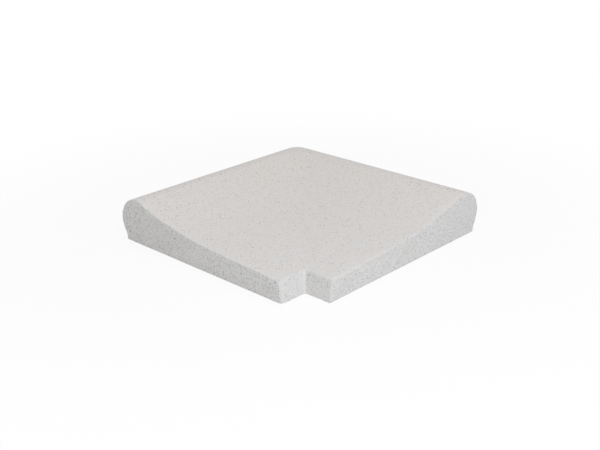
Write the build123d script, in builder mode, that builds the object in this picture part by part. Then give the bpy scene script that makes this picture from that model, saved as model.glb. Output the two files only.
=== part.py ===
"""External corner of a raised-lip swimming pool coping, cast in one piece in white stone concrete.

The edges at +X and +Y carry the round lip that overhangs the pool. Behind the lip the top face falls in a
hollow sweep to the thin back edge, and the two sweeps meet in a soft valley on the diagonal. The faces at
-X and -Y are joint faces that butt against straight copings, so each of them shows the section. The notch
at the -X -Y corner goes round the corner of the paving.

Units are millimetres. The origin is the middle of the underside and +Z is up.
"""

from build123d import *

import os
from math import cos, radians, sin, sqrt, tan

# Plan
coping_width = 330.0  # straight coping, from lip to back edge
notch_leg = 43.0  # side of the notch, on the underside
side = coping_width + notch_leg
half = side / 2
corner_radius = 42.0  # plan radius of the outermost line of the lip

# Lip section
lip_height = 68.0
nose_radius = 37.0
under_nose_radius = 25.0
throat_lean = 25.0  # degrees from upright
throat_radius = 7.0
foot_inset = 10.0  # from the outermost line of the lip to the underside
foot_height = 7.5
foot_lean = 10.0  # degrees from upright

# Top face
slope_angle = 17.4  # just behind the crest
tail_angle = 2.5  # at the back edge
hollow_radius = 520.0
back_thickness = 31.0
valley_radius = 120.0
crest_radius = 30.0

# Notch and arrises
notch_draft = 9.0  # degrees from upright, so that the stone leaves its mould
notch_root_radius = 4.0
notch_arris_radius = 4.0
top_arris_radius = 2.0
base_arris_radius = 1.0

margin = 40.0  # how far the shaping bodies run past the stone

# Sections are drawn in front of the -Y joint face, with local X running from the lip inwards and local Y up.
section_plane = Plane(origin=(half, -half - margin, 0), x_dir=(-1, 0, 0), z_dir=(0, 1, 0))
diagonal = Plane(origin=(0, 0, 0), x_dir=(1, 1, 0), z_dir=(1, -1, 0))
towards_lip = Axis((0, 0, 0), (1, 1, 0))
nose_height = lip_height - nose_radius  # of the outermost line of the lip

# The slope is tangent to the nose. It meets the line of the tail at the bend that the hollow rounds off.
slope = tan(radians(slope_angle))
tail = tan(radians(tail_angle))
tangent_inset = nose_radius * (1 + sin(radians(slope_angle)))
slope_base = nose_height + nose_radius * cos(radians(slope_angle)) + slope * tangent_inset
tail_base = back_thickness + tail * coping_width
bend_inset = (slope_base - tail_base) / (slope - tail)
hollow_tangent = hollow_radius * tan(radians(slope_angle - tail_angle) / 2)
hollow_start = bend_inset - hollow_tangent * cos(radians(slope_angle))
hollow_end = bend_inset + hollow_tangent * cos(radians(tail_angle))


def fall_height(inset):
    """Height of the top face at a distance from the lip: slope, then hollow, then tail."""
    if inset <= hollow_start:
        return slope_base - slope * inset
    if inset >= hollow_end:
        return tail_base - tail * inset
    centre_inset = hollow_start + hollow_radius * sin(radians(slope_angle))
    centre_height = fall_height(hollow_start) + hollow_radius * cos(radians(slope_angle))
    return centre_height - sqrt(hollow_radius**2 - (inset - centre_inset) ** 2)


def on_diagonal(edge):
    """Whether both ends of an edge lie on the diagonal of the plan."""
    return all(abs(end.X - end.Y) < 0.01 for end in edge.vertices())


def on_joint_face(edge):
    """Whether an edge lies in one of the two joint faces."""
    box = edge.bounding_box()
    return min(box.max.X, box.max.Y) < 0.01 - half


def beside_notch(edge):
    """Whether an edge rises through the thickness where the notch is."""
    rises = edge.bounding_box().size.Z > back_thickness / 2
    return rises and max(edge.center().X, edge.center().Y) < 1.5 * notch_leg - half


# Everything below the falling top, on both arms, with the soft valley between them
with BuildPart() as fall:
    near, far = -margin, side + margin
    hollow_insets = [hollow_start + share * (hollow_end - hollow_start) for share in (0, 0.25, 0.5, 0.75, 1)]
    insets = [near, 0, *hollow_insets, (hollow_end + far) / 2, far]
    with BuildSketch(section_plane):
        with BuildLine():
            Spline(*[(inset, fall_height(inset)) for inset in insets], tangents=[(1, -slope), (1, -tail)])
            Polyline((near, fall_height(near)), (near, near), (far, near), (far, fall_height(far)))
        make_face()
    extrude(amount=side + 2 * margin)
    mirror(about=diagonal)
    corners = fall.edges().filter_by(Axis.Z).sort_by(towards_lip)
    chamfer([corners[0], corners[-1]], margin / 2)
    fillet(fall.edges().filter_by(on_diagonal), valley_radius)

# The notch is smallest at the underside. Its walls lean back upwards and meet in a small round.
with BuildPart() as notch:
    with BuildSketch():
        with Locations((-half - margin, -half - margin)):
            Rectangle(notch_leg + margin, notch_leg + margin, align=(Align.MIN, Align.MIN))
    extrude(amount=lip_height)
    walls = notch.faces().sort_by(towards_lip)[-2:]
    draft(walls, Plane.XY, -notch_draft)
    fillet(notch.edges().sort_by(towards_lip).filter_by(on_diagonal)[-1], notch_root_radius)

with BuildPart() as coping_corner:
    # The lip is one section turned round the corner, in front of a plain block of the same height.
    start = -half - margin
    lip_depth = (nose_radius + corner_radius) / 2
    throat_start = (
        under_nose_radius * (1 - cos(radians(throat_lean))),
        nose_height - under_nose_radius * sin(radians(throat_lean)),
    )
    foot_top = (foot_inset - foot_height * tan(radians(foot_lean)), foot_height)
    with BuildSketch(section_plane) as lip_section:
        with BuildLine():
            CenterArc((nose_radius, nose_height), nose_radius, 90, 90)
            CenterArc((under_nose_radius, nose_height), under_nose_radius, 180, throat_lean)
            Polyline(
                throat_start,
                foot_top,
                (foot_inset, 0),
                (lip_depth, 0),
                (lip_depth, lip_height),
                (nose_radius, lip_height),
            )
        make_face()
        fillet(lip_section.vertices().sort_by_distance(foot_top)[0], throat_radius)
    with BuildLine() as lip_line:
        FilletPolyline((half, start), (half, half), (start, half), radius=corner_radius)
    sweep(path=lip_line.line)
    block_inset = (nose_radius + lip_depth) / 2
    block_side = side + margin - block_inset
    with BuildSketch() as block_plan:
        with Locations((start, start)):
            Rectangle(block_side, block_side, align=(Align.MIN, Align.MIN))
        fillet(block_plan.vertices().sort_by(towards_lip)[-1], corner_radius - block_inset)
    extrude(amount=lip_height)

    # The fall leaves an edge along the crest, which is rounded into the nose.
    add(fall.part, mode=Mode.INTERSECT)
    crest_strip = coping_corner.faces().filter_by(Axis.Z).sort_by(Axis.Z)[-1]
    fillet(crest_strip.edges().filter_by(GeomType.BSPLINE), crest_radius)
    add(notch.part, mode=Mode.SUBTRACT)
    split(bisect_by=Plane.YZ.offset(-half), keep=Keep.TOP)
    split(bisect_by=Plane.ZX.offset(-half), keep=Keep.TOP)

    # Arrises: the upright ones at the notch, then the outlines of the joint faces, then the underside
    fillet(coping_corner.edges().filter_by(beside_notch).filter_by(on_joint_face), notch_arris_radius)
    outlines = coping_corner.edges().filter_by(on_joint_face)
    fillet(outlines.filter_by(lambda edge: edge.center().Z > 0.01), top_arris_radius)
    underside = coping_corner.faces().sort_by(Axis.Z)[0]
    fillet(underside.edges(), base_arris_radius)
coping_corner.part.label = "coping_corner"

os.makedirs("parts", exist_ok=True)
export_step(coping_corner.part, "parts/coping_corner.step")
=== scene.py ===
"""Studio picture of a cast stone corner coping for a pool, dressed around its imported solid.

The solid gives the stone's shape. Here its skin is laid again as a fine even mesh, with rubbed arrises, small
chips and a slightly uneven face, and the aggregate is set into it grain by grain.
"""

import logging
import math
from dataclasses import dataclass, field
from enum import Enum
from typing import NamedTuple

import bmesh
import bpy
import numpy as np
from mathutils import Matrix, Vector


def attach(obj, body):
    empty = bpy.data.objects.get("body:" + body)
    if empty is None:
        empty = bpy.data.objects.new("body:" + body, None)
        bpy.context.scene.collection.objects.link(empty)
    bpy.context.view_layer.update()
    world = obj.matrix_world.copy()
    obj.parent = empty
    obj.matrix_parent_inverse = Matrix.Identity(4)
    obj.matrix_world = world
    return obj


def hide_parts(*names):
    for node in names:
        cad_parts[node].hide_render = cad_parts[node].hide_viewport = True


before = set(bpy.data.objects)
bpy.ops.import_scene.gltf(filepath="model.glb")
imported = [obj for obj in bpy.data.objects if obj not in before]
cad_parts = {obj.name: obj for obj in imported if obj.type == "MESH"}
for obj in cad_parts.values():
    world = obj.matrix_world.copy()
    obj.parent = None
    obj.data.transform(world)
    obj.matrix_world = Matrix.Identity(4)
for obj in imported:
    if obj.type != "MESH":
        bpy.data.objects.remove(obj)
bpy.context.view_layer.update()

log = logging.getLogger("coping")

MM = 0.001
NODE = "coping_corner"
BODY = "root"
PIECE = "cast_stone_coping"
TINT_DRAW = "tint"
IS_GRAIN = "grain"

Socket = bpy.types.NodeSocket
Sockets = bpy.types.bpy_prop_collection
Pair = tuple[float, float]
Place = tuple[float, float, float]
Colour = tuple[float, float, float]
Tints = tuple[tuple[float, Colour], ...]

WHITE: Colour = (1.0, 1.0, 1.0)
AGGREGATE_TINTS: Tints = (
    (0.0, (0.26, 0.26, 0.27)),
    (0.20, (0.34, 0.34, 0.35)),
    (0.52, (0.42, 0.41, 0.40)),
    (0.74, (0.46, 0.42, 0.38)),
    (0.89, (0.44, 0.36, 0.30)),
    (0.97, (0.45, 0.30, 0.21)),
)
STAIN_TINTS: Tints = ((0.0, (0.68, 0.59, 0.50)), (0.5, (0.64, 0.65, 0.66)))
PALE_TINTS: Tints = ((0.0, (0.86, 0.86, 0.85)),)
BLUSH_TINTS: Tints = ((0.0, (0.66, 0.50, 0.46)), (0.5, (0.68, 0.53, 0.38)))
RUST_TINTS: Tints = ((0.0, (0.60, 0.42, 0.27)), (0.5, (0.58, 0.45, 0.38)))


class Mask(Enum):
    """Masks that the skin carries at its points. Each value is an attribute's name.

    WASHED is the smooth top and lip, ARRIS where an edge is rubbed, BARED how much of the aggregate shows,
    and the inner-corner mask marks the notch's inner corner, where grains are fewer and painted light whitens
    the paste. The others say which face a point is on.
    """

    JOINT_FACE = "joint_face"
    NOTCH_WALL = "notch_wall"
    UNDERSIDE = "underside"
    WASHED = "washed"
    ARRIS = "arris"
    BARED = "bared"
    # The notch's inner corner: fewer grains there, and painted light that whitens the paste.
    ROOT = "root"


class Joint(Enum):
    """The two joint faces. Each value is the face's place in a pair of values."""

    MINUS_Y = 0
    MINUS_X = 1


@dataclass(frozen=True)
class Viewpoint:
    """The camera of the photograph, in metres and degrees."""

    place: Place = (-0.93140, -0.89189, 0.53760)
    yaw: float = 43.805
    pitch: float = 22.116
    roll: float = -0.806
    focal_px: float = 933.15
    image_width_px: float = 600.0
    sensor_mm: float = 36.0
    clip: Pair = (0.01, 60.0)

    def build(self) -> bpy.types.Object:
        """Adds the camera to the scene and makes it the active one.

        Returns:
            The camera object.
        """
        data = bpy.data.cameras.new("photo_camera")
        data.sensor_width = self.sensor_mm
        data.lens = self.focal_px / self.image_width_px * self.sensor_mm
        data.clip_start, data.clip_end = self.clip
        yaw, pitch, roll = (math.radians(angle) for angle in (self.yaw, self.pitch, self.roll))
        look = Vector((math.cos(pitch) * math.cos(yaw), math.cos(pitch) * math.sin(yaw), -math.sin(pitch)))
        right = look.cross(Vector((0, 0, 1))).normalized()
        up = right.cross(look)
        turned_right = math.cos(roll) * right + math.sin(roll) * up
        turned_up = math.cos(roll) * up - math.sin(roll) * right
        camera = bpy.data.objects.new("photo_camera", data)
        turn = Matrix((turned_right, turned_up, -look)).transposed().to_4x4()
        camera.matrix_world = Matrix.Translation(self.place) @ turn
        bpy.context.scene.collection.objects.link(camera)
        bpy.context.scene.camera = camera
        return camera


@dataclass(frozen=True)
class Section:
    """The section that both arms of the stone share, in millimetres and degrees.

    Insets are distances inwards from the outermost line of the lip, and heights are above the underside.
    """

    side: float = 373.0
    coping_width: float = 330.0
    corner_radius: float = 42.0
    lip_height: float = 68.0
    nose_radius: float = 37.0
    under_nose_radius: float = 25.0
    throat_lean: float = 25.0
    throat_radius: float = 7.0
    foot_inset: float = 10.0
    foot_height: float = 7.5
    foot_lean: float = 10.0
    slope_angle: float = 17.4
    tail_angle: float = 2.5
    hollow_radius: float = 520.0
    back_thickness: float = 31.0
    valley_radius: float = 120.0
    crest_radius: float = 30.0
    steepest_sine: float = 0.9

    @property
    def slope(self) -> float:
        """Fall per millimetre just behind the crest."""
        return math.tan(math.radians(self.slope_angle))

    @property
    def tail(self) -> float:
        """Fall per millimetre at the back edge."""
        return math.tan(math.radians(self.tail_angle))

    @property
    def nose_height(self) -> float:
        """Height of the outermost line of the lip."""
        return self.lip_height - self.nose_radius

    @property
    def bases(self) -> Pair:
        """Works out where the straight lines of the slope and of the tail start.

        Returns:
            The heights that the two lines would have at the lip.
        """
        lean = math.radians(self.slope_angle)
        tangent_inset = self.nose_radius * (1 + math.sin(lean))
        slope_base = self.nose_height + self.nose_radius * math.cos(lean) + self.slope * tangent_inset
        return slope_base, self.back_thickness + self.tail * self.coping_width

    @property
    def hollow(self) -> Pair:
        """Works out where the hollow lies.

        Returns:
            The insets at which it starts and ends.
        """
        slope_base, tail_base = self.bases
        bend = (slope_base - tail_base) / (self.slope - self.tail)
        reach = self.hollow_radius * math.tan(math.radians(self.slope_angle - self.tail_angle) / 2)
        start = bend - reach * math.cos(math.radians(self.slope_angle))
        return start, bend + reach * math.cos(math.radians(self.tail_angle))

    def grade(self, inset: np.ndarray) -> np.ndarray:
        """Fall per millimetre of the top face at an inset.

        Args:
            inset: Distances inwards from the outermost line of the lip.

        Returns:
            The grade at each of them.
        """
        start, end = self.hollow
        centre = start + self.hollow_radius * math.sin(math.radians(self.slope_angle))
        run = np.clip(centre - np.clip(inset, start, end), 0, self.steepest_sine * self.hollow_radius)
        return run / np.sqrt(self.hollow_radius**2 - run**2)

    def fall(self, inset: np.ndarray) -> np.ndarray:
        """Height of one arm's top face: slope, then hollow, then tail.

        Args:
            inset: Distances inwards from the outermost line of the lip.

        Returns:
            The height at each of them.
        """
        start, end = self.hollow
        slope_base = self.bases[0]
        lean = math.radians(self.slope_angle)
        centre_inset = start + self.hollow_radius * math.sin(lean)
        centre_height = slope_base - self.slope * start + self.hollow_radius * math.cos(lean)
        within = np.clip(inset, start, end)
        arc = centre_height - np.sqrt(self.hollow_radius**2 - (within - centre_inset) ** 2)
        before = np.clip(start - inset, 0, None) * self.slope
        after = np.clip(inset - end, 0, None) * self.tail
        return arc + before - after

    def crown(self, across: np.ndarray, along: np.ndarray) -> np.ndarray:
        """Height of the lip's round nose, level behind its crest.

        Args:
            across: Insets from the +X lip.
            along: Insets from the +Y lip.

        Returns:
            The height at each place.
        """
        radius = self.corner_radius
        turned = radius - np.hypot(np.clip(radius - across, 0, None), np.clip(radius - along, 0, None))
        inset = np.where(np.maximum(across, along) < radius, turned, np.minimum(across, along))
        run = self.nose_radius - np.clip(inset, 0, self.nose_radius)
        return self.nose_height + np.sqrt(self.nose_radius**2 - run**2)

    def top(self, across: np.ndarray, along: np.ndarray) -> np.ndarray:
        """Height of the whole top face, with the soft valley and the rounded crest.

        Args:
            across: Insets from the +X lip.
            along: Insets from the +Y lip.

        Returns:
            The height at each place.
        """
        grade = self.grade(np.minimum(across, along))
        one, other = self.fall(across), self.fall(along)
        reach = self.valley_radius * grade**2
        share = np.clip(reach - np.abs(one - other), 0, None) / (2 * reach)
        swept = np.maximum(one, other) + reach * share**2
        crown = self.crown(across, along)
        reach = self.crest_radius / 2 * grade**2 * ((1 - share) ** 2 + share**2)
        share = np.clip(reach - np.abs(swept - crown), 0, None) / (2 * reach)
        return np.minimum(swept, crown) - reach * share**2


@dataclass
class Sheets:
    """Point indices of the skin's four sheets, with -1 where a sheet has no point.

    Attributes:
        top: The square grid of the top.
        bed: The square grid of the underside.
        lip: The rows round the lip, from the -Y joint face to the -X one.
        notch: The rows down the notch's walls, from the -Y joint face to the -X one.
    """

    top: np.ndarray
    bed: np.ndarray
    lip: np.ndarray
    notch: np.ndarray


class Bend(NamedTuple):
    """One station of the bend into a joint face.

    Attributes:
        outline: The section there, as inset and height pairs.
        gap: How far each of the outline's points is from the joint face.
        wall: The rows of the notch's wall, as inset and height pairs.
        wall_gap: How far those are from the joint face.
    """

    outline: np.ndarray
    gap: np.ndarray
    wall: np.ndarray
    wall_gap: float


@dataclass
class StoneSkin:
    """The stone's whole outside as one closed mesh of even quads, in millimetres.

    A square grid covers the top and another the underside. Rows round the lip and down the notch join them,
    and each joint face closes an end. Every row bends over into the joint faces on a rubbed arris.

    Attributes:
        section: The section that the skin follows.
        grid_from: Inset at which the two grids start.
        spacing: Distance between grid lines.
        before_notch: How far before the notch's edge the lines lie closer, and their distance there.
        past_notch: The same past that edge.
        last_station: Last grid line before the bend into the joint faces.
        nose_points: Points of the lip's section on its nose, both ends among them.
        under_nose_points: The same below the nose.
        throat_points: Points down the straight of the throat.
        hollow_pieces: Pieces of the hollow between throat and foot.
        shin_points: Points down the foot.
        arris_pieces: Pieces of each rounded arris in the section.
        notch_root_top: Radius of the notch's inner corner at the top.
        notch_root_foot: The same at the foot.
        notch_root_clean_and_lit_bands: Reach of the band beside it that has fewer grains and is whitened with
            painted light, on the wall that faces -X and on the other.
        notch_lean: How far the top ends before the line of the notch's foot.
        notch_top_arris: Radius of the arris at the top of the notch's walls.
        base_arris: Radius of the arrises at the underside.
        joint_top_arris: Radius of the joint faces' arris at the top.
        joint_base_arris: The same at the underside.
        joint_arris_rise: Heights between which it passes from one to the other.
        joint_wall_arris: Radius of the arrises between the joint faces and the notch's walls.
        wall_blend: How many times shorter than the top the stretch is on which that radius comes in.
        base_rub: How rubbed the underside's arris is, from 0 to 1.
        base_rise: Heights between which that passes to the rub of the arrises above.
        face_rub: The rub just inside each joint face.
        notch_base_rub: How rubbed the foot of the notch's walls is.
        wall_bared: How bared the notch's walls are.
        bared: How bared each joint face is.
        sag_depth: How deep the top dips beside the -X joint face.
        sag_reach: How far from that face the dip reaches.
        sag_profile: Share of the dip at insets from the +Y lip.
        bend_angles: Angles of the stations of the bend, in degrees.
        cap_columns: Places of a joint face's own points between the nose and the grid behind it.
        wall_inset: Inset at which the underside ends before the notch.
        top_edge: Inset at which the top ends before the notch.
        bends: Angles of the stations of the bend, in radians.
        lines: Insets of the underside's grid lines.
        upper: Insets of the top's grid lines.
        last: Index of the last grid line.
        first_bend: Index of the first grid line of the bend.
        wall: Index of the grid line where the notch starts.
        lip_section: The rows round the lip, as inset and height pairs.
        rows: How many rows there are.
        points: The points added so far.
        masks: The values of each mask on them.
        count: How many points there are so far.
    """

    section: Section = field(default_factory=Section)
    grid_from: float = 14.0
    spacing: float = 2.6
    before_notch: Pair = (9.0, 1.6)
    past_notch: Pair = (4.0, 0.8)
    last_station: float = 366.0
    nose_points: int = 14
    under_nose_points: int = 5
    throat_points: int = 5
    hollow_pieces: int = 3
    shin_points: int = 2
    arris_pieces: int = 4
    notch_root_top: float = 1.2
    notch_root_foot: float = 5.0
    notch_root_clean_and_lit_bands: Pair = (5.0, 12.0)
    notch_lean: float = 5.7
    notch_top_arris: float = 1.9
    base_arris: float = 1.0
    joint_top_arris: float = 1.0
    joint_base_arris: float = 0.7
    joint_arris_rise: Pair = (1.0, 9.0)
    joint_wall_arris: float = 1.2
    wall_blend: float = 10.0
    base_rub: float = 0.25
    base_rise: Pair = (1.0, 6.0)
    face_rub: Pair = (1.0, 0.6)
    notch_base_rub: float = 0.6
    wall_bared: float = 0.5
    bared: Pair = (0.3, 0.95)
    sag_depth: float = 2.8
    sag_reach: float = 16.0
    sag_profile: tuple[Pair, ...] = (
        (38.0, 0.0),
        (58.0, 0.85),
        (70.0, 1.0),
        (84.0, 0.75),
        (104.0, 0.32),
        (126.0, 0.0),
    )
    bend_angles: tuple[float, ...] = (0.0, 22.5, 45.0, 67.5, 90.0)
    cap_columns: tuple[float, ...] = (0.08, 0.25, 0.55)
    wall_inset: float = field(init=False)
    top_edge: float = field(init=False)
    bends: np.ndarray = field(init=False)
    lines: np.ndarray = field(init=False)
    upper: np.ndarray = field(init=False)
    last: int = field(init=False)
    first_bend: int = field(init=False)
    wall: int = field(init=False)
    lip_section: np.ndarray = field(init=False)
    rows: int = field(init=False)
    points: list[np.ndarray] = field(init=False, default_factory=list)
    masks: dict[Mask, list[np.ndarray]] = field(init=False)
    count: int = field(init=False, default=0)

    def __post_init__(self) -> None:
        """Works out the grid lines, the rows of the lip and how many of each there are."""
        self.wall_inset = self.section.coping_width - self.base_arris
        self.top_edge = self.wall_inset - self.notch_lean
        before, past = self.wall_inset - self.before_notch[0], self.wall_inset + self.past_notch[0]
        runs = [
            (self.grid_from, before, self.spacing),
            (before, self.wall_inset, self.before_notch[1]),
            (self.wall_inset, past, self.past_notch[1]),
            (past, self.last_station, self.spacing),
        ]
        lines = [
            np.linspace(start, end, round((end - start) / gap), endpoint=False) for start, end, gap in runs
        ]
        self.bends = np.radians(self.bend_angles)
        ends = self.section.side - self.joint_top_arris * (1 - np.sin(self.bends))
        self.lines = np.concatenate([*lines, [self.last_station], ends])
        fixed = [self.grid_from, self.wall_inset, self.last_station]
        self.upper = np.interp(self.lines, fixed, [self.grid_from, self.top_edge, self.last_station])
        self.last = len(self.lines) - 1
        self.first_bend = len(self.lines) - len(self.bends)
        self.wall = int(np.argmin(np.abs(self.lines - self.wall_inset)))
        self.lip_section = self.lip_rows()
        self.rows = len(self.lip_section)
        self.masks = {mask: [] for mask in Mask}

    def lip_rows(self) -> np.ndarray:
        """Section points from the top grid round the nose to the grid of the underside.

        Returns:
            An array of inset and height pairs, without the two grids' own points.
        """
        part = self.section
        start = math.acos(1 - self.grid_from / part.nose_radius)
        angles = np.linspace(start, 0, self.nose_points)[1:]
        nose = np.stack([1 - np.cos(angles), np.sin(angles)], 1) * part.nose_radius
        angles = np.linspace(0, math.radians(part.throat_lean), self.under_nose_points)[1:]
        under = np.stack([1 - np.cos(angles), -np.sin(angles)], 1) * part.under_nose_radius
        throat = under[-1] + [0, part.nose_height]
        foot_run = part.foot_height * math.tan(math.radians(part.foot_lean))
        foot = np.array([part.foot_inset - foot_run, part.foot_height])
        base = np.array([part.foot_inset, 0.0])
        reach = part.throat_radius * math.tan(math.radians(part.throat_lean - part.foot_lean) / 2)
        down, leg = self.unit(foot - throat), self.unit(base - foot)
        hollow = self.bent(foot - reach * down, foot, foot + reach * leg, self.hollow_pieces)
        arris = self.bent(base - self.base_arris * leg, base, base + [self.base_arris, 0], self.arris_pieces)
        straight = self.between(throat, hollow[0], self.throat_points)
        shin = self.between(hollow[-1], arris[0], self.shin_points)
        sole = self.between(arris[-1], np.array([self.grid_from, 0.0]), 1)
        lifted = [nose + [0, part.nose_height], under + [0, part.nose_height]]
        return np.concatenate([*lifted, straight, hollow, shin, arris, sole])

    @staticmethod
    def unit(vector: np.ndarray) -> np.ndarray:
        """The vector at length one."""
        return vector / np.hypot(*vector)

    @staticmethod
    def between(start: np.ndarray, end: np.ndarray, count: int) -> np.ndarray:
        """Evenly spaced points between two ends, which are left out."""
        shares = np.linspace(0, 1, count + 2)[1:-1, None]
        return (1 - shares) * start + shares * end

    @staticmethod
    def bent(start: np.ndarray, corner: np.ndarray, end: np.ndarray, pieces: int) -> np.ndarray:
        """Points of the soft curve that rounds a corner, both ends among them."""
        share = np.linspace(0, 1, pieces + 1)[:, None]
        return (1 - share) ** 2 * start + 2 * share * (1 - share) * corner + share**2 * end

    @staticmethod
    def shares(points: np.ndarray) -> np.ndarray:
        """How far along a line of points each of them is, from 0 to 1."""
        run = np.concatenate([[0], np.cumsum(np.hypot(*np.diff(points, axis=0).T))])
        return run / run[-1]

    @staticmethod
    def either_way(by_x_lip: np.ndarray, low: np.ndarray, high: np.ndarray) -> tuple[np.ndarray, np.ndarray]:
        """Insets from the +X lip and the +Y lip, of which the lower is from the +X lip where said."""
        return np.where(by_x_lip, low, high), np.where(by_x_lip, high, low)

    @staticmethod
    def ring(grid: np.ndarray, line: int) -> np.ndarray:
        """One line of a square grid, from the -Y joint face round to the -X one."""
        return np.concatenate([grid[line, :line:-1], grid[line:, line]])

    def wall_rows(self, start: np.ndarray, end: np.ndarray) -> np.ndarray:
        """Section points down the notch wall.

        Args:
            start: Inset and height of the top grid's last point.
            end: Inset and height of the underside's last point.

        Returns:
            As many inset and height pairs as the lip has rows.
        """
        top = start + self.notch_top_arris * np.array([1, -self.section.tail])
        base = end + [self.base_arris, 0]
        down = self.unit(base - top)
        head = self.bent(start, top, top + self.notch_top_arris * down, self.arris_pieces)[1:]
        foot = self.bent(base - self.base_arris * down, base, end, self.arris_pieces)[:-1]
        straight = self.between(head[-1], foot[0], self.rows - len(head) - len(foot))
        return np.concatenate([head, straight, foot])

    def corner_turn(self, inset: np.ndarray) -> np.ndarray:
        """Works out the plan radius with which a grid line goes round the corner.

        Args:
            inset: Insets of grid lines.

        Returns:
            The radius of each.
        """
        first = self.section.corner_radius - self.grid_from
        share = np.clip((inset - self.grid_from) / (self.top_edge - self.grid_from), 0, 1)
        root = np.interp(inset, [self.top_edge, self.wall_inset], [self.notch_root_top, self.notch_root_foot])
        inner = (1 - share) * first + share * root
        return np.where(inset < self.grid_from, self.section.corner_radius - inset, inner)

    def place(self, near: np.ndarray, far: np.ndarray) -> tuple[np.ndarray, np.ndarray]:
        """Rounds the corner of each grid line.

        Args:
            near: Inset of the grid line.
            far: Inset of the point along that line, measured from the other lip.

        Returns:
            The point's own insets, from the lip of its line and from the other lip.
        """
        turn = self.corner_turn(near)
        run = far - near
        angle = np.clip(1 - run / turn, 0, 1) * math.pi / 4
        centre = near + turn
        within = run < turn
        return (
            np.where(within, centre - turn * np.cos(angle), near),
            np.where(within, centre - turn * np.sin(angle), far),
        )

    def add(
        self, across: np.ndarray, along: np.ndarray, height: np.ndarray, masks: dict[Mask, float | np.ndarray]
    ) -> np.ndarray:
        """Adds points to the skin.

        Args:
            across: Insets from the +X lip.
            along: Insets from the +Y lip.
            height: Heights above the underside.
            masks: The value that each mask has on them, where it isn't 0.

        Returns:
            Their indices, in the shape of the arrays given.
        """
        half = self.section.side / 2
        across, along, height = np.broadcast_arrays(across, along, height)
        self.points.append(np.stack([half - across, half - along, height], -1).reshape(-1, 3))
        for mask in Mask:
            value = np.broadcast_to(masks.get(mask, 0.0), across.shape)
            self.masks[mask].append(value.ravel())
        indices = np.arange(self.count, self.count + across.size).reshape(across.shape)
        self.count += across.size
        return indices

    def sag(self, inset: np.ndarray, height: np.ndarray, plane: np.ndarray) -> np.ndarray:
        """How far the top dips beside the -X joint face, where its arris is worn behind the crest.

        Args:
            inset: Insets from the +Y lip.
            height: Heights of the points, of which those low down stay where they are.
            plane: Insets from the +X lip.

        Returns:
            How far each point comes down.
        """
        behind_crest = np.interp(inset, *zip(*self.sag_profile))
        beside_joint = np.clip(1 - (self.section.side - plane) / self.sag_reach, 0, 1) ** 2
        full_height = self.section.top(np.full(inset.shape, self.section.side), inset)
        share = np.clip(height / full_height, 0, 1)
        return self.sag_depth * behind_crest * beside_joint * share**2

    def build(self) -> bpy.types.Mesh:
        """Lays the skin.

        Returns:
            The closed mesh, in metres, with the masks as point attributes.
        """
        count = len(self.lines)
        sheets = Sheets(
            top=np.full((count, count), -1),
            bed=np.full((count, count), -1),
            lip=np.full((self.rows, 2 * self.last + 1), -1),
            notch=np.full((self.rows, 2 * (self.last - self.wall) + 1), -1),
        )
        self.lay_grid(sheets.top, self.upper, Mask.WASHED)
        self.lay_grid(sheets.bed, self.lines, Mask.UNDERSIDE)
        self.lay_lip(sheets.lip)
        self.lay_notch(sheets.notch)
        caps = [self.close_end(joint, sheets) for joint in Joint]
        strip = np.vstack([self.ring(sheets.top, 0), sheets.lip, self.ring(sheets.bed, 0)])
        face = np.vstack([self.ring(sheets.top, self.wall), sheets.notch, self.ring(sheets.bed, self.wall)])
        return self.make_mesh([sheets.top, sheets.bed, strip, face, *caps])

    def lay_grid(self, grid: np.ndarray, lines: np.ndarray, mask: Mask) -> None:
        """Lays a square grid up to where it bends over into the joint faces.

        Args:
            grid: The grid that gets the point indices.
            lines: Insets of its lines.
            mask: WASHED for the top, and UNDERSIDE for the underside.
        """
        plain = np.arange(self.first_bend)
        here, there = np.nonzero(np.minimum.outer(plain, plain) <= self.wall)
        low, high = self.place(lines[np.minimum(here, there)], lines[np.maximum(here, there)])
        across, along = self.either_way(here <= there, low, high)
        height = np.zeros_like(across)
        if mask is Mask.WASHED:
            height = self.section.top(across, along)
            height = height - self.sag(along, height, across)
        grid[here, there] = self.add(across, along, height, {mask: 1.0})

    def lay_lip(self, lip: np.ndarray) -> None:
        """Lays the rows round the lip.

        Args:
            lip: The sheet that gets the point indices.
        """
        part = self.section
        stations = np.arange(1 - self.first_bend, self.first_bend)
        far = self.lines[np.abs(stations)]
        turn = part.corner_radius - self.grid_from
        angle = np.clip(1 - (far - self.grid_from) / turn, 0, 1) * math.pi / 4
        for row, (inset, height) in enumerate(self.lip_section):
            low = part.corner_radius - (part.corner_radius - inset) * np.cos(angle)
            turned = part.corner_radius - (part.corner_radius - inset) * np.sin(angle)
            high = np.where(angle > 0, turned, far)
            across, along = self.either_way(stations <= 0, low, high)
            rubbed = self.base_rub * float(height < self.base_arris)
            masks = {Mask.ARRIS: rubbed, Mask.WASHED: float(height > part.nose_height)}
            lip[row, stations + self.last] = self.add(across, along, height, masks)

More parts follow.
